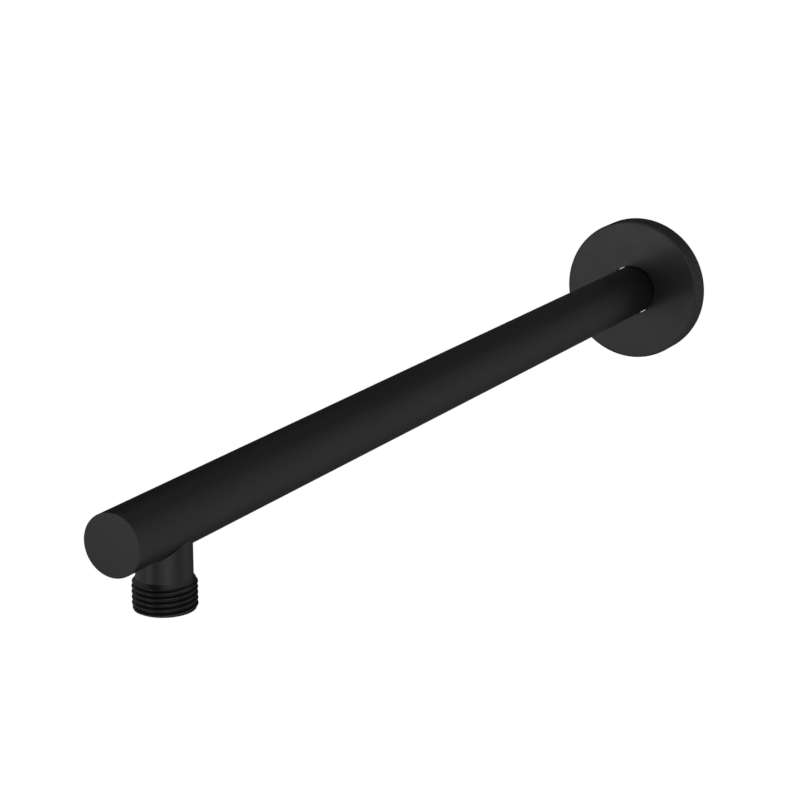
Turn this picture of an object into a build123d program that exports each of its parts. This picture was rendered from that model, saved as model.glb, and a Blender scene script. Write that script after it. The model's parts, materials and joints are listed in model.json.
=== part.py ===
"""Wall-mounted shower arm: a straight tube with a closed end, a threaded outlet under it, and a loose wall flange.

The wall face is the XZ plane. The arm stands out from it along -Y, and the inlet thread goes into the wall along +Y.
The origin is on the tube's axis at the wall face. Sizes are in millimetres.
"""
import os

from build123d import *

os.makedirs("parts", exist_ok=True)

# Arm
arm_reach = 400.0  # wall face to the closed end
tube_diameter = 21.0
tube_wall = 1.2
braze_gap = 0.05  # radial gap that the solder fills

# Closed end
cap_thickness = 2.0
cap_plug_length = 4.0
cap_edge_break = 0.3

# G1/2 pipe thread, at its crests, and the lead at its free end
thread_diameter = 20.955
thread_lead_length = 1.2
thread_lead_depth = 0.5
waterway_diameter = 13.0

# Inlet nipple behind the flange
inlet_thread_length = 15.0
inlet_groove_diameter = 18.4
inlet_groove_length = 2.0
inlet_shoulder_length = 1.5
inlet_plug_length = 8.0

# Outlet spigot under the closed end
outlet_from_end = 27.3  # closed end to the outlet's axis
outlet_drop = 28.9  # tube axis to the outlet's end face
outlet_thread_length = 10.8
outlet_runout_length = 1.6  # cone between the neck and the thread's full diameter
outlet_neck_diameter = 18.4
outlet_collar_diameter = 15.0  # goes through the tube's wall

# Wall flange
flange_diameter = 61.0
flange_depth = 10.0
flange_wall = 1.5
flange_clearance = 0.35  # radial, between the hole and the tube
flange_edge_radius = 0.8
flange_hole_chamfer = 0.25

# Worked out from the sizes above
tube_radius = tube_diameter / 2
tube_bore_radius = tube_radius - tube_wall
plug_radius = tube_bore_radius - braze_gap
thread_radius = thread_diameter / 2
waterway_radius = waterway_diameter / 2
tube_inlet_end = inlet_groove_length + inlet_shoulder_length  # in front of the wall face
tube_closed_end = arm_reach - cap_thickness
outlet_from_wall = arm_reach - outlet_from_end
outlet_axis = Axis((0, -outlet_from_wall, 0), (0, 0, 1))
outlet_plane = Plane(origin=(0, -outlet_from_wall, 0), x_dir=(1, 0, 0), z_dir=(0, -1, 0))
outlet_down = Plane(origin=(0, -outlet_from_wall, 0), x_dir=(1, 0, 0), z_dir=(0, 0, -1))

# Tube with the hole in its underside for the outlet's collar
with BuildPart() as arm_tube:
    with BuildSketch(Plane.XZ.offset(tube_inlet_end)):
        Circle(tube_radius)
        Circle(tube_bore_radius, mode=Mode.SUBTRACT)
    extrude(amount=tube_closed_end - tube_inlet_end)
    with BuildSketch(outlet_down):
        Circle(outlet_collar_diameter / 2 + braze_gap)
    extrude(amount=tube_diameter, mode=Mode.SUBTRACT)
arm_tube.part.label = "arm_tube"
export_step(arm_tube.part, "parts/arm_tube.step")

# Disc that closes the free end, with a plug inside the tube
with BuildPart() as end_cap:
    with BuildSketch(Plane.XZ.offset(tube_closed_end)):
        Circle(tube_radius)
    extrude(amount=cap_thickness)
    chamfer(end_cap.faces().sort_by(Axis.Y)[0].edges(), cap_edge_break)
    with BuildSketch(Plane.XZ.offset(tube_closed_end)):
        Circle(plug_radius)
    extrude(amount=-cap_plug_length)
    chamfer(end_cap.faces().sort_by(Axis.Y)[-1].edges(), cap_edge_break)
end_cap.part.label = "end_cap"
export_step(end_cap.part, "parts/end_cap.step")

# Turned outlet: threaded end and neck, saddle-cut to the tube, with a collar through the tube's wall
outlet_neck_radius = outlet_neck_diameter / 2
outlet_thread_top = outlet_thread_length - outlet_drop
with BuildPart() as outlet_spigot:
    with BuildSketch(outlet_plane):
        with BuildLine():
            Polyline(
                (0, 0),
                (outlet_neck_radius, 0),
                (outlet_neck_radius, outlet_thread_top),
                (thread_radius, outlet_thread_top - outlet_runout_length),
                (thread_radius, thread_lead_length - outlet_drop),
                (thread_radius - thread_lead_depth, -outlet_drop),
                (0, -outlet_drop),
                close=True,
            )
        make_face()
    revolve(axis=outlet_axis)
    with BuildSketch(Plane.XZ):
        Circle(tube_radius + braze_gap)
    extrude(amount=arm_reach, mode=Mode.SUBTRACT)
    with BuildSketch(outlet_down):
        Circle(outlet_collar_diameter / 2)
    extrude(amount=tube_diameter / 2 + tube_wall)
    with BuildSketch(Plane.XZ):
        Circle(tube_bore_radius)
    extrude(amount=arm_reach, mode=Mode.SUBTRACT)
    with BuildSketch(outlet_down):
        Circle(waterway_radius)
    extrude(amount=outlet_drop, mode=Mode.SUBTRACT)
outlet_spigot.part.label = "outlet_spigot"
export_step(outlet_spigot.part, "parts/outlet_spigot.step")

# Turned inlet: plug in the tube, shoulder against the tube's end, thread relief groove and thread
with BuildPart() as inlet_nipple:
    with BuildSketch(Plane.XY):
        with BuildLine():
            Polyline(
                (waterway_radius, -tube_inlet_end - inlet_plug_length),
                (plug_radius, -tube_inlet_end - inlet_plug_length),
                (plug_radius, -tube_inlet_end),
                (tube_radius, -tube_inlet_end),
                (tube_radius, -inlet_groove_length),
                (inlet_groove_diameter / 2, -inlet_groove_length),
                (inlet_groove_diameter / 2, 0),
                (thread_radius, 0),
                (thread_radius, inlet_thread_length - thread_lead_length),
                (thread_radius - thread_lead_depth, inlet_thread_length),
                (waterway_radius, inlet_thread_length),
                close=True,
            )
        make_face()
    revolve(axis=Axis.Y)
inlet_nipple.part.label = "inlet_nipple"
export_step(inlet_nipple.part, "parts/inlet_nipple.step")

# Loose wall flange: a shallow cup with its open side to the wall and a hole for the tube
flange_radius = flange_diameter / 2
flange_hole_radius = tube_radius + flange_clearance
with BuildPart() as wall_flange:
    with BuildSketch(Plane.XZ):
        Circle(flange_radius)
    extrude(amount=flange_depth)
    fillet(wall_flange.faces().sort_by(Axis.Y)[0].edges(), flange_edge_radius)
    with BuildSketch(Plane.XZ):
        Circle(flange_radius - flange_wall)
    extrude(amount=flange_depth - flange_wall, mode=Mode.SUBTRACT)
    with BuildSketch(Plane.XZ):
        Circle(flange_hole_radius)
    extrude(amount=flange_depth, mode=Mode.SUBTRACT)
    front = wall_flange.faces().filter_by(Axis.Y).sort_by(Axis.Y)[0]
    chamfer(front.edges().sort_by(SortBy.RADIUS)[0], flange_hole_chamfer)
wall_flange.part.label = "wall_flange"
export_step(wall_flange.part, "parts/wall_flange.step")
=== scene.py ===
# %% [markdown]
# This script dresses a wall-mounted shower arm in Blender, one piece at a time.
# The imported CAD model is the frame: it says where each piece is and how large it is, and nothing
# here moves it. The wall is the XZ plane, the arm stands out from it along -Y, and +Z is up.
# Everything is in metres.

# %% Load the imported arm
import json
import math

import bmesh
import bpy
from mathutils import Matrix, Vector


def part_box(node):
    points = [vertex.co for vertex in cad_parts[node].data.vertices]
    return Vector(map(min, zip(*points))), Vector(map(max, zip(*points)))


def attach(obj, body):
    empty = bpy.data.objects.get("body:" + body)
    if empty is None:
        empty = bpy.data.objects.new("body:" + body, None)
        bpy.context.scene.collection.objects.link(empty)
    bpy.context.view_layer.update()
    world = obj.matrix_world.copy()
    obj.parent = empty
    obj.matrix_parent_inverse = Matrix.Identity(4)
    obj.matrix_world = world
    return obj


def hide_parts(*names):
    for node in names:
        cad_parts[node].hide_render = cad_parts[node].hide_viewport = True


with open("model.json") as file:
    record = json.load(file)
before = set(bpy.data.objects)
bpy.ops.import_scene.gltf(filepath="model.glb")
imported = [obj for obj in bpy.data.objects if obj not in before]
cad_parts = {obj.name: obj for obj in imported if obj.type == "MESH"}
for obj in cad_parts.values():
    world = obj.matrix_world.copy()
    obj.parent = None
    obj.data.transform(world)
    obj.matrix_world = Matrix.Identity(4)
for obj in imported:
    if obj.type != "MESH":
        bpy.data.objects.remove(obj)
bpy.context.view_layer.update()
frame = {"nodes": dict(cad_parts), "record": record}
print("CAD nodes:", sorted(frame["nodes"]))

# %% [markdown]
# The sizes that the frame already holds are read from it, so that this script follows the CAD model
# when it changes. A round piece's radius is half the width of its box.
# Only what the boxes can't say, such as a wall thickness inside a piece, is written as a length here.

# %% Read the sizes from the frame
MM = 0.001

tube_low, tube_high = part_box("arm_tube")
cap_low, cap_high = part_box("end_cap")
spigot_low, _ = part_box("outlet_spigot")
nipple_low, nipple_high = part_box("inlet_nipple")
flange_low, flange_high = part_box("wall_flange")
mounts = {mount["name"]: mount for mount in frame["record"]["mounts"]}

tube_radius = tube_high.x
flange_radius = flange_high.x
thread_radius = mounts["outlet_thread"]["dims"]["r_mm"] * MM
outlet_y = mounts["outlet_thread"]["pos_m"][1]

tube_wall = 1.2 * MM
braze_gap = 0.05 * MM
waterway_radius = 6.5 * MM
tube_bore_radius = tube_radius - tube_wall
plug_radius = tube_bore_radius - braze_gap
print("tube radius", round(tube_radius / MM, 3), "mm, flange radius", round(flange_radius / MM, 3), "mm")

# %% [markdown]
# Every piece of this arm is round, because each was drawn as a tube, pressed, or turned on a lathe.
# The same thing is done here: half of the cross-section is drawn as a line of vertices, and spun
# about the axis. A cylinder with extruded rings would also work, but a section is easier to check
# against a drawing.
# The first helper draws the section: a small plane is merged to one vertex, which is then extruded
# from point to point.

# %% Draw half a cross-section
SAME_PLACE = 0.0001 * MM


def draw_section(name, points, closed=True):
    """A line through the points, left in edit mode. One that ends on the axis isn't closed."""
    bpy.ops.object.select_all(action="DESELECT")
    bpy.ops.mesh.primitive_plane_add(size=MM, location=points[0])
    section = bpy.context.object
    section.name = name
    bpy.ops.object.transform_apply(location=True, rotation=True, scale=True)
    bpy.ops.object.mode_set(mode="EDIT")
    bpy.ops.mesh.select_all(action="SELECT")
    bpy.ops.mesh.merge(type="CENTER")
    bpy.ops.mesh.select_all(action="SELECT")
    route = points + points[:1] if closed else points
    for here, there in zip(route, route[1:]):
        step = [end - start for start, end in zip(here, there)]
        bpy.ops.mesh.extrude_vertices_move(TRANSFORM_OT_translate={"value": step})
    bpy.ops.mesh.select_all(action="SELECT")
    bpy.ops.mesh.remove_doubles(threshold=SAME_PLACE)
    return section


# %% [markdown]
# Turned metal has no perfectly sharp edges. A corner of the section can be broken before it is spun,
# which is cheaper than a bevel around the finished ring: the vertex bevel replaces one corner by a
# small arc, and one segment makes it a chamfer.

# %% Round a corner of the section
def round_corner(section, corner, radius, segments):
    """Replaces the vertex of the section at that corner by an arc. The section is in edit mode."""
    mesh = bmesh.from_edit_mesh(section.data)
    bpy.ops.mesh.select_all(action="DESELECT")
    nearest = min(mesh.verts, key=lambda vertex: math.dist(vertex.co, corner))
    nearest.select = True
    mesh.select_flush(True)
    bmesh.update_edit_mesh(section.data)
    bpy.ops.mesh.bevel(offset=radius, segments=segments, affect="VERTICES", profile=0.5)


# %% [markdown]
# The second helper spins the section once round its axis. The first and last copy fall on the same
# place, so the doubles are merged, and only then are the normals turned outwards.
# Smooth shading by angle keeps the turned corners crisp and the round sides smooth. Weighted normals
# keep each flat face flat to its edge, which shows on a satin finish.

# %% Spin the section into a turned piece
TURN_STEPS = 192
CRISP_ANGLE = math.radians(30)


def spin_section(section, centre, axis):
    """Closes the section into a ring, and leaves edit mode."""
    bpy.ops.mesh.select_all(action="SELECT")
    bpy.ops.mesh.spin(steps=TURN_STEPS, angle=2 * math.pi, center=centre, axis=axis, use_auto_merge=True)
    bpy.ops.mesh.select_all(action="SELECT")
    bpy.ops.mesh.remove_doubles(threshold=SAME_PLACE)
    bpy.ops.mesh.normals_make_consistent(inside=False)
    bpy.ops.object.mode_set(mode="OBJECT")
    print(section.name, "spun to", len(section.data.polygons), "faces")


def smooth_piece(piece):
    """Shades the finished piece."""
    bpy.ops.object.select_all(action="DESELECT")
    piece.select_set(True)
    bpy.context.view_layer.objects.active = piece
    bpy.ops.object.shade_smooth_by_angle(angle=CRISP_ANGLE)
    normals = piece.modifiers.new("flat_faces_stay_flat", "WEIGHTED_NORMAL")
    normals.keep_sharp = True
    bpy.ops.object.modifier_apply(modifier=normals.name)
    print(piece.name, "has", len(piece.data.polygons), "faces")


# %% [markdown]
# A hole or a saddle is cut by a second solid: a Boolean modifier takes it away and is applied at once.
# The cutter is deleted, because it is only a tool. Where both solids have a vertex in nearly the same
# place the cut leaves two, so they are merged.

# %% Cut one solid with another
def cut(piece, cutter):
    """Takes the cutter away from the piece, and deletes it."""
    bpy.ops.object.select_all(action="DESELECT")
    piece.select_set(True)
    bpy.context.view_layer.objects.active = piece
    difference = piece.modifiers.new("cut", "BOOLEAN")
    difference.operation = "DIFFERENCE"
    difference.solver = "EXACT"
    difference.object = cutter
    bpy.ops.object.modifier_apply(modifier=difference.name)
    bpy.data.objects.remove(cutter)
    bpy.ops.object.mode_set(mode="EDIT")
    bpy.ops.mesh.select_all(action="SELECT")
    bpy.ops.mesh.remove_doubles(threshold=SAME_PLACE)
    bpy.ops.object.mode_set(mode="OBJECT")


def drill(radius, start, end):
    """A round cutter from start to end, along Y or along Z."""
    bpy.ops.object.select_all(action="DESELECT")
    length = math.dist(start, end)
    middle = [(a + b) / 2 for a, b in zip(start, end)]
    tilt = math.pi / 2 if start[1] != end[1] else 0
    bpy.ops.mesh.primitive_cylinder_add(
        vertices=TURN_STEPS, radius=radius, depth=length, location=middle, rotation=(tilt, 0, 0)
    )
    bpy.ops.object.transform_apply(location=True, rotation=True, scale=True)
    return bpy.context.object


# %% [markdown]
# The arm itself is a drawn brass tube. Its half-section is a long thin rectangle beside the axis.
# Two bisecting planes leave short rings of faces around the outlet, so that the hole in the underside,
# which takes the outlet's collar, only cuts those.

# %% Arm tube
ARM_AXIS = (0, 1, 0)


def along_arm(radius, y):
    """A point of a half-section that is spun about the arm's own axis."""
    return (radius, y, 0)


arm_tube = draw_section("arm_tube_drawn", [
    along_arm(tube_bore_radius, tube_low.y),
    along_arm(tube_radius, tube_low.y),
    along_arm(tube_radius, tube_high.y),
    along_arm(tube_bore_radius, tube_high.y),
])
spin_section(arm_tube, (0, 0, 0), ARM_AXIS)

outlet_band = 12 * MM
bpy.ops.object.mode_set(mode="EDIT")
for side in (-outlet_band, outlet_band):
    bpy.ops.mesh.select_all(action="SELECT")
    bpy.ops.mesh.bisect(plane_co=(0, outlet_y + side, 0), plane_no=ARM_AXIS)
bpy.ops.object.mode_set(mode="OBJECT")

collar_radius = 7.5 * MM
cut(arm_tube, drill(collar_radius + braze_gap, (0, outlet_y, 0), (0, outlet_y, 2 * spigot_low.z)))
smooth_piece(arm_tube)

# %% [markdown]
# A disc closes the free end. It is as wide as the tube, so that the two look like one piece once they
# are brazed, and a shallow plug holds it in the bore. Its outer edge is only just broken.
# Its section starts and ends on the axis, so it is left open: spinning closes it.

# %% End cap
cap_edge = 0.3 * MM
cap_front_corner = along_arm(tube_radius, cap_low.y)
cap_plug_corner = along_arm(plug_radius, cap_high.y)
end_cap = draw_section("end_cap_turned", [
    along_arm(0, cap_low.y),
    cap_front_corner,
    along_arm(tube_radius, tube_low.y),
    along_arm(plug_radius, tube_low.y),
    cap_plug_corner,
    along_arm(0, cap_high.y),
], closed=False)
round_corner(end_cap, cap_front_corner, cap_edge, segments=4)
round_corner(end_cap, cap_plug_corner, cap_edge, segments=2)
spin_section(end_cap, (0, 0, 0), ARM_AXIS)
smooth_piece(end_cap)

# %% [markdown]
# The wall flange is a shallow cup that slides on the tube and hides the hole in the wall.
# It is a pressed and turned shell, so its back is hollow and only its rim touches the wall.
# A scaled cylinder would be solid, and would show when the flange is pushed up the arm.
# Only a hair of light shows between the flange and the tube. So the hole is drawn a little closer to the
# tube than in the CAD model, which leaves more room there for the motion.

# %% Wall flange
flange_wall = 1.5 * MM
flange_clearance = 0.2 * MM
flange_edge = 0.8 * MM
flange_rim_edge = 0.2 * MM
hole_edge = 0.25 * MM
hole_radius = tube_radius + flange_clearance
recess_radius = flange_radius - flange_wall
recess_y = flange_low.y + flange_wall
hole_corner = along_arm(hole_radius, flange_low.y)
front_corner = along_arm(flange_radius, flange_low.y)
rim_corners = [along_arm(flange_radius, flange_high.y), along_arm(recess_radius, flange_high.y)]
wall_flange = draw_section("wall_flange_pressed", [
    hole_corner,
    front_corner,
    *rim_corners,
    along_arm(recess_radius, recess_y),
    along_arm(hole_radius, recess_y),
])
round_corner(wall_flange, front_corner, flange_edge, segments=6)
for rim_corner in rim_corners:
    round_corner(wall_flange, rim_corner, flange_rim_edge, segments=2)
round_corner(wall_flange, hole_corner, hole_edge, segments=1)
spin_section(wall_flange, (0, 0, 0), ARM_AXIS)
smooth_piece(wall_flange)

# %% [markdown]
# Both ends carry the usual half-inch pipe thread, 14 turns to the inch with a rounded 55 degree form.
# A die cuts such a thread as a groove into a turned blank, and so does this script: the groove's
# outline is drawn once, the Screw modifier sweeps it along a helix, and the blank is cut with the
# result. A bump texture would be quicker, but the crests would not show in the outline.
# The standard takes a sixth of the sharp form off its crests and its roots, and rounds both.
# The outline ends a little outside the blank. Were it to end on the blank's own surface, the Boolean
# would have to cut along that surface, and would leave slivers.

# %% Outline of the thread's groove
MM_PER_INCH = 25.4
TURNS_PER_INCH = 14
THREAD_ANGLE = 55
ROUND_SHARE = 0.137329
ARC_STEPS = 2

thread_pitch = MM_PER_INCH / TURNS_PER_INCH * MM
flank_angle = math.radians(THREAD_ANGLE / 2)
form_height = thread_pitch / (2 * math.tan(flank_angle))
thread_depth = form_height * 2 / 3
root_radius = thread_radius - thread_depth
round_over = ROUND_SHARE * thread_pitch
mouth_overlap = 0.03 * MM
mouth_gap = 0.03 * MM


def groove_outline():
    """(distance from the axis, offset along it) of one side of the groove, from root to mouth."""
    arc_step = (math.pi / 2 - flank_angle) / ARC_STEPS
    arc = [
        (round_over * (1 - math.cos(arc_step * part)), round_over * math.sin(arc_step * part))
        for part in range(ARC_STEPS + 1)
    ]
    root = [(root_radius + rise, offset) for rise, offset in arc]
    crest = [(thread_radius - rise, thread_pitch / 2 - offset) for rise, offset in arc[:0:-1]]
    mouth = (thread_radius + mouth_overlap, (thread_pitch - mouth_gap) / 2)
    return root + crest + [mouth]


print("thread pitch", round(thread_pitch / MM, 3), "mm, depth", round(thread_depth / MM, 3), "mm")

# %% [markdown]
# The Screw modifier turns the outline about an axis and lifts it by one pitch a turn. Its two open
# ends are filled, so that the groove is a solid that the Boolean can take away. It starts in the slim
# stretch beside the thread, and runs out past the blank's free end.
# The outline is drawn half a step of the blank's own turn beside the blank's section. The cutter's
# edges then cross the blank's faces and never run along its edges.

# %% Sweep the groove along its helix
THREAD_STEPS = TURN_STEPS // 2
HALF_STEP = math.pi / TURN_STEPS


def thread_cutter(axis, start, end):
    """The groove about the world's Y or Z axis, from start to end along it."""
    one_side = groove_outline()
    other_side = [(radius, -offset) for radius, offset in one_side[:0:-1]]
    outline = []
    for radius, offset in one_side + other_side:
        across, beside = radius * math.cos(HALF_STEP), radius * math.sin(HALF_STEP)
        along = start + offset
        outline.append((across, along, beside) if axis == "Y" else (across, beside, along))
    groove = draw_section("thread_groove", outline)
    bpy.ops.object.mode_set(mode="OBJECT")
    helix = groove.modifiers.new("helix", "SCREW")
    helix.axis = axis
    helix.steps = THREAD_STEPS
    helix.render_steps = THREAD_STEPS
    helix.screw_offset = math.copysign(thread_pitch, end - start)
    helix.angle = math.copysign(2 * math.pi, end - start)
    helix.iterations = math.ceil(abs(end - start) / thread_pitch)
    bpy.ops.object.modifier_apply(modifier=helix.name)
    bpy.ops.object.mode_set(mode="EDIT")
    bpy.ops.mesh.select_all(action="SELECT")
    bpy.ops.mesh.remove_doubles(threshold=SAME_PLACE)
    bpy.ops.mesh.select_all(action="DESELECT")
    bpy.ops.mesh.select_non_manifold()
    bpy.ops.mesh.fill_holes(sides=0)
    bpy.ops.mesh.select_all(action="SELECT")
    bpy.ops.mesh.normals_make_consistent(inside=False)
    bpy.ops.object.mode_set(mode="OBJECT")
    return groove


# %% [markdown]
# Behind the flange, a turned nipple is plugged into the tube and screws into the pipe in the wall.
# The photograph doesn't show it, so it is kept to what such an arm needs: plug, shoulder, relief
# groove and thread. The shoulder's edge and the mouth of the waterway are just broken, as on the lathe.

# %% Inlet nipple
lathe_edge = 0.25 * MM
thread_lead = 1.2 * MM
lead_depth = 0.5 * MM
lead_radius = thread_radius - lead_depth
relief_radius = 9.2 * MM
relief_front = -2 * MM
thread_start = mounts["inlet_thread"]["pos_m"][1]
inlet_run_in = 0.8 * MM
shoulder_corner = along_arm(tube_radius, relief_front)
inlet_mouth = along_arm(waterway_radius, nipple_high.y)
inlet_nipple = draw_section("inlet_nipple_turned", [
    along_arm(waterway_radius, nipple_low.y),
    along_arm(plug_radius, nipple_low.y),
    along_arm(plug_radius, tube_high.y),
    along_arm(tube_radius, tube_high.y),
    shoulder_corner,
    along_arm(relief_radius, relief_front),
    along_arm(relief_radius, thread_start),
    along_arm(thread_radius, thread_start),
    along_arm(thread_radius, nipple_high.y - thread_lead),
    along_arm(lead_radius, nipple_high.y),
    inlet_mouth,
])
for corner in (shoulder_corner, inlet_mouth):
    round_corner(inlet_nipple, corner, lathe_edge, segments=2)
spin_section(inlet_nipple, (0, 0, 0), ARM_AXIS)
cut(inlet_nipple, thread_cutter("Y", thread_start - inlet_run_in, nipple_high.y + thread_pitch))
smooth_piece(inlet_nipple)

# %% [markdown]
# The outlet is turned with a neck that is slimmer than its thread. A short cone leads from the neck to
# the thread, and another one leads the shower head's nut onto it.
# The blank goes up into the tube here, and the saddle is cut into it in the next cell.

# %% Outlet spigot
neck_radius = 9.2 * MM
neck_top = -3 * MM
runout_length = 1.6 * MM
outlet_thread_length = 10.8 * MM
thread_top = spigot_low.z + outlet_thread_length


def along_outlet(radius, z):
    """A point of a half-section that is spun about the outlet's axis."""
    return (radius, outlet_y, z)


outlet_mouth = along_outlet(waterway_radius, spigot_low.z)
outlet_spigot = draw_section("outlet_spigot_turned", [
    along_outlet(waterway_radius, neck_top),
    along_outlet(neck_radius, neck_top),
    along_outlet(neck_radius, thread_top),
    along_outlet(thread_radius, thread_top - runout_length),
    along_outlet(thread_radius, spigot_low.z + thread_lead),
    along_outlet(lead_radius, spigot_low.z),
    outlet_mouth,
])
round_corner(outlet_spigot, outlet_mouth, lathe_edge, segments=2)
spin_section(outlet_spigot, (0, outlet_y, 0), (0, 0, 1))

# %% [markdown]
# The neck's top is cut to a saddle that sits on the tube, which gives the curved seam under the arm.
# A narrower collar goes on through the tube's wall, so that the water runs from the bore to the outlet.
# The saddle's cutter is a cylinder as wide as the tube, with the collar drilled out of it first.
# A second one, a little slimmer and lower, takes off only the neck's outer edge. That leaves a fine dark
# line along the seam, which is widest at the neck's front and back and all but closes at its sides.

# %% Cut the outlet's saddle and collar
SEAM_HEIGHT = 0.5 * MM
SEAM_TAPER = 0.3 * MM
SEAM_DEPTH = 0.6 * MM


def arm_bar(radius, z=0):
    """A round cutter along the arm, as long as the band around the outlet."""
    return drill(radius, (0, outlet_y - outlet_band, z), (0, outlet_y + outlet_band, z))


def cut_saddle(bar, kept_radius):
    """Cuts the spigot to fit a bar along the arm, but keeps its core."""
    cut(bar, drill(kept_radius, (0, outlet_y, -2 * tube_radius), (0, outlet_y, 2 * tube_radius)))
    cut(outlet_spigot, bar)


cut_saddle(arm_bar(tube_radius + braze_gap), collar_radius)
cut_saddle(arm_bar(tube_radius - SEAM_TAPER, -SEAM_HEIGHT - SEAM_TAPER), neck_radius - SEAM_DEPTH)
cut(outlet_spigot, arm_bar(tube_bore_radius))
print("saddle cut at", round(outlet_y / MM, 1), "mm")

# %% [markdown]
# The Screw modifier turns about its object's origin, so the groove is swept about the world's axis and
# then moved to the outlet.

# %% Cut the outlet's thread
outlet_run_in = 0.4 * MM
groove = thread_cutter("Z", thread_top + outlet_run_in, spigot_low.z - thread_pitch)
bpy.ops.object.select_all(action="DESELECT")
groove.select_set(True)
bpy.ops.transform.translate(value=(0, outlet_y, 0))
bpy.ops.object.transform_apply(location=True, rotation=True, scale=True)
cut(outlet_spigot, groove)
smooth_piece(outlet_spigot)

# %% [markdown]
# Each new piece stands for one CAD node and moves with that node's body: the flange slides, and the
# rest is one rigid arm.

# %% Put the pieces on their bodies
dressed = {
    "arm_tube": (arm_tube, "arm"),
    "end_cap": (end_cap, "arm"),
    "outlet_spigot": (outlet_spigot, "arm"),
    "inlet_nipple": (inlet_nipple, "arm"),
    "wall_flange": (wall_flange, "flange"),
}
for node, (piece, body) in dressed.items():
    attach(piece, body)
    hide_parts(node)
print("pieces on bodies:", {piece.name: body for piece, body in dressed.values()})

# %% [markdown]
# Colours are written as sRGB hex values, as a picture editor shows them. Blender's sockets want linear
# light, so one function turns the one into the other.

# %% Colours as hex values
def linear(hex_colour):
    """Red, green, blue and alpha for a colour socket."""
    channels = [int(hex_colour[place:place + 2], 16) / 255 for place in (1, 3, 5)]
    return [c / 12.92 if c <= 0.04045 else ((c + 0.055) / 1.055) ** 2.4 for c in channels] + [1]


print("middle grey in linear light:", round(linear("#808080")[0], 3))

# %% [markdown]
# One small function adds a node with its settings and links. An input is given as a plain value, or as
# another node and the name of its output.

# %% Add a node
def add_node(tree, kind, inputs=None, **settings):
    """A new node of that kind, with its inputs set or linked."""
    new = tree.nodes.new(kind)
    for name, value in settings.items():
        setattr(new, name, value)
    for name, value in (inputs or {}).items():
        if isinstance(value, tuple) and isinstance(value[0], bpy.types.Node):
            tree.links.new(value[0].outputs[value[1]], new.inputs[name])
        else:
            new.inputs[name].default_value = value
    return new


def empty_tree(owner):
    """The node tree of a material or a world, cleared."""
    owner.use_nodes = True
    owner.node_tree.nodes.clear()
    return owner.node_tree


# %% [markdown]
# The whole arm has one finish: a matte black lacquer, sprayed on the brass and baked.
# To the eye it is a deep neutral black without any metal in it. All that shows its form is a soft,
# broad sheen, because the matting powder in the lacquer scatters the reflection. So it is a dielectric
# with a low IOR, a nearly black base and a middling roughness, not a dark metal.
# A sprayed film is never quite even. Its sheen drifts over about a centimetre, and its skin has the
# fine ripple that painters call orange peel.

# %% Matte black lacquer
def per_metre(size_mm):
    """The Scale of a texture whose features are that large."""
    return 1000 / size_mm


THIN_FILM = "#0c0c0c"
THICK_FILM = "#090909"
FILM_DRIFT_MM = 9
FILM_RANGE = (0.3, 0.7)
SHEEN_RANGE = (0.33, 0.37)
# Real ripple is finer than this and would be lost between the pixels, so it is drawn a little coarser.
RIPPLE_MM = 0.7
RIPPLE_HEIGHT = 0.02 * MM
RIPPLE_STRENGTH = 0.15
LACQUER_IOR = 1.37

lacquer = bpy.data.materials.new("matte_black_lacquer")
tree = empty_tree(lacquer)
place = add_node(tree, "ShaderNodeTexCoord")
film = add_node(tree, "ShaderNodeTexNoise", {
    "Vector": (place, "Object"), "Scale": per_metre(FILM_DRIFT_MM), "Detail": 3.0, "Roughness": 0.5,
})
film_colour = add_node(tree, "ShaderNodeValToRGB", {"Fac": (film, "Fac")})
film_stops = film_colour.color_ramp.elements
for stop, position, colour in zip(film_stops, FILM_RANGE, (THIN_FILM, THICK_FILM)):
    stop.position = position
    stop.color = linear(colour)
film_sheen = add_node(tree, "ShaderNodeMapRange", {
    "Value": (film, "Fac"),
    "From Min": FILM_RANGE[0], "From Max": FILM_RANGE[1],
    "To Min": SHEEN_RANGE[0], "To Max": SHEEN_RANGE[1],
})
ripple = add_node(tree, "ShaderNodeTexNoise", {
    "Vector": (place, "Object"), "Scale": per_metre(RIPPLE_MM), "Detail": 2.0, "Roughness": 0.6,
})
ripple_bump = add_node(tree, "ShaderNodeBump", {
    "Height": (ripple, "Fac"), "Strength": RIPPLE_STRENGTH, "Distance": RIPPLE_HEIGHT,
})
shader = add_node(tree, "ShaderNodeBsdfPrincipled", {
    "Base Color": (film_colour, "Color"),
    "Roughness": (film_sheen, "Result"),
    "Normal": (ripple_bump, "Normal"),
    "IOR": LACQUER_IOR,
})
add_node(tree, "ShaderNodeOutputMaterial", {"Surface": (shader, "BSDF")})
for piece, _ in dressed.values():
    piece.data.materials.clear()
    piece.data.materials.append(lacquer)
print("lacquered pieces:", len(dressed))

# %% [markdown]
# The floor is white studio paper. It lies four metres below the arm, so it fills the lower part of the
# picture and takes only a very faint shadow.

# %% Floor
WHITE = "#ffffff"
FLOOR_DROP = 4.0
FLOOR_SIZE = 80.0

bpy.ops.object.select_all(action="DESELECT")
bpy.ops.mesh.primitive_plane_add(size=FLOOR_SIZE, location=(0, 0, -FLOOR_DROP))
floor = bpy.context.object
floor.name = "floor"
paper = bpy.data.materials.new("white_studio_paper")
tree = empty_tree(paper)
shader = add_node(tree, "ShaderNodeBsdfDiffuse", {"Color": linear(WHITE)})
add_node(tree, "ShaderNodeOutputMaterial", {"Surface": (shader, "BSDF")})
floor.data.materials.append(paper)
print("floor", FLOOR_DROP, "m below the arm")

# %% [markdown]
# The light is that of a white tent: the world is plain white at strength 1, so that a matt surface
# shows its own colour, and the background is white from every side.
# One upright soft lamp at the front left adds a little gloss to the faces that look that way.

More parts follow.
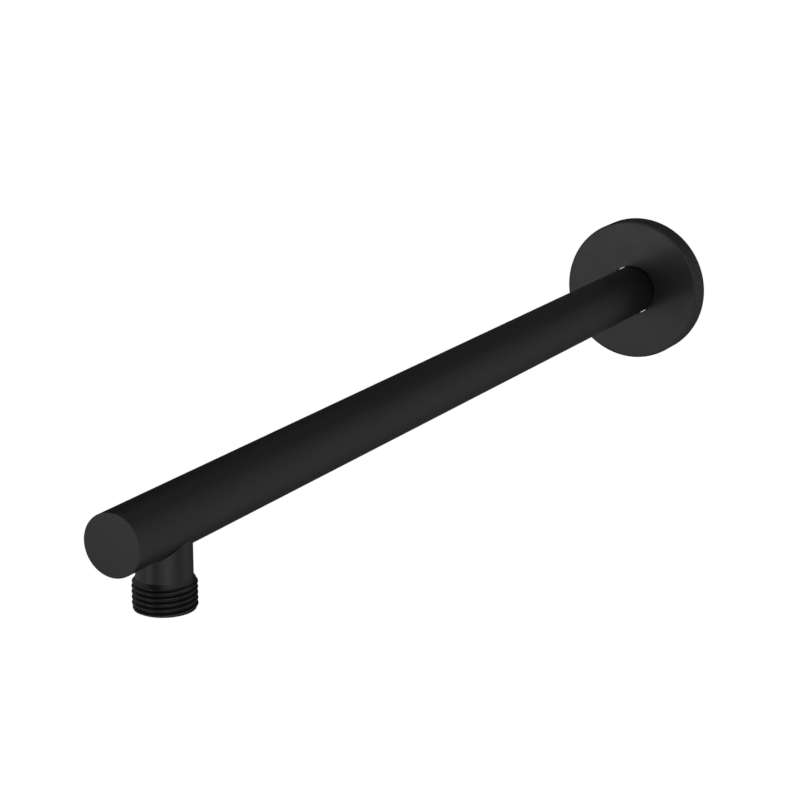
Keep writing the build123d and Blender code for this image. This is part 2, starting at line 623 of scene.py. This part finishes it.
# %% Tent and soft lamp
world = bpy.data.worlds.new("white_tent")
tree = empty_tree(world)
shader = add_node(tree, "ShaderNodeBackground", {"Color": linear(WHITE), "Strength": 1.0})
add_node(tree, "ShaderNodeOutputWorld", {"Surface": (shader, "Background")})
bpy.context.scene.world = world

LAMP_PLACE = (-0.708, -1.909, 0)
LAMP_TURN = math.radians(-22.5)
LAMP_WIDTH = 0.5
LAMP_HEIGHT = 1.0
LAMP_WATTS = 6.2

bpy.ops.object.select_all(action="DESELECT")
bpy.ops.object.light_add(type="AREA", location=LAMP_PLACE, rotation=(math.pi / 2, 0, LAMP_TURN))
lamp = bpy.context.object
lamp.name = "soft_lamp"
lamp.data.shape = "RECTANGLE"
lamp.data.size = LAMP_WIDTH
lamp.data.size_y = LAMP_HEIGHT
lamp.data.energy = LAMP_WATTS
lamp.visible_camera = False
print("lamp", lamp.data.energy, "W")

# %% [markdown]
# A glossy black object shows its surroundings more than itself. In a tent that is white all round, the
# tube would turn pale grey and flat. A photographer puts light and dark cloth round such an object,
# outside the picture, so that it shows them as soft bands.
# Here a drum that glows stands on the floor round the arm and the lamp. Only reflections see it, so it
# neither lights nor shades the arm and isn't in the picture: its glow is painted reflection, the light
# and dark bands that the arm shows.
# The drum is turned until its own X axis points to the back. A radial gradient in the drum's own
# coordinates then starts and ends in front of the arm.

# %% Drum that glows in reflections only, round the arm
DRUM_RADIUS = 1.9
DRUM_CENTRE_Y = -0.2
DRUM_BOTTOM = -FLOOR_DROP
DRUM_TOP = 2.5
DRUM_STEPS = 96

bpy.ops.object.select_all(action="DESELECT")
bpy.ops.mesh.primitive_cylinder_add(
    vertices=DRUM_STEPS,
    radius=DRUM_RADIUS,
    depth=DRUM_TOP - DRUM_BOTTOM,
    end_fill_type="NOTHING",
    location=(0, DRUM_CENTRE_Y, (DRUM_TOP + DRUM_BOTTOM) / 2),
    rotation=(0, 0, math.pi / 2),
)
drum = bpy.context.object
drum.name = "cloth_drum"
# Only glossy rays see the drum, so it paints reflections on the arm and neither lights nor shades it.
drum.visible_camera = False
drum.visible_diffuse = False
drum.visible_shadow = False
drum.visible_transmission = False
print("drum has", len(drum.data.polygons), "faces")

# %% [markdown]
# The drum's glow depends on its bearing alone, which is 0 degrees in front of the arm, 90 on its +X
# side and 180 behind it. It is nearly black behind the arm, grey on both sides and white at the
# front right, and these greys are painted into the arm's reflections. The greys were fitted to the tones
# of the photograph.
# The gradient gives the bearing as a share of a full turn, and a colour ramp turns it into a grey.

# %% Greys of the drum's glow, painted into the reflections
REFLECTION_GLOW_STRENGTH = 1.65
FULL_TURN = 360
GREY_IN_FRONT = "#7f7f7f"
GREY_AT_BEARING = {
    45: "#ffffff",
    82: "#929292",
    122: "#b1b1b1",
    168: "#494949",
    225: "#1c1c1c",
    305: "#a3a3a3",
}

reflection_glow = bpy.data.materials.new("grey_cloth")
tree = empty_tree(reflection_glow)
place = add_node(tree, "ShaderNodeTexCoord")
turn = add_node(tree, "ShaderNodeTexGradient", {"Vector": (place, "Object")}, gradient_type="RADIAL")
greys = add_node(tree, "ShaderNodeValToRGB", {"Fac": (turn, "Fac")})
stops = greys.color_ramp.elements
for stop in stops:
    stop.color = linear(GREY_IN_FRONT)
for bearing, grey in GREY_AT_BEARING.items():
    stop = stops.new(bearing / FULL_TURN)
    stop.color = linear(grey)
# The greys glow as emission: this is painted reflection, not lit cloth.
shader = add_node(tree, "ShaderNodeEmission", {
    "Color": (greys, "Color"), "Strength": REFLECTION_GLOW_STRENGTH,
})
add_node(tree, "ShaderNodeOutputMaterial", {"Surface": (shader, "Emission")})
drum.data.materials.append(reflection_glow)
print("cloth has", len(stops), "stops of grey")

# %% [markdown]
# The camera looks along the arm from its closed end, from a little above and to its right, with a long
# lens. Its place and lens were fitted to the outline of the arm in the photograph. It has no lens
# shift, because the other views would keep it.

# %% Camera
CAMERA_PLACE = (0.40541, -0.94918, 0.23751)
CAMERA_TURN = math.radians(29.078)
CAMERA_DIP = math.radians(15.798)
CAMERA_LENS = 106.339
SENSOR_WIDTH = 36

bpy.ops.object.select_all(action="DESELECT")
bpy.ops.object.camera_add(location=CAMERA_PLACE, rotation=(math.pi / 2 - CAMERA_DIP, 0, CAMERA_TURN))
camera = bpy.context.object
camera.name = "camera"
camera.data.sensor_width = SENSOR_WIDTH
camera.data.lens = CAMERA_LENS
camera.data.clip_end = 2 * FLOOR_SIZE
bpy.context.scene.camera = camera
bpy.context.scene.view_settings.view_transform = "Standard"
print("camera lens", camera.data.lens, "mm")
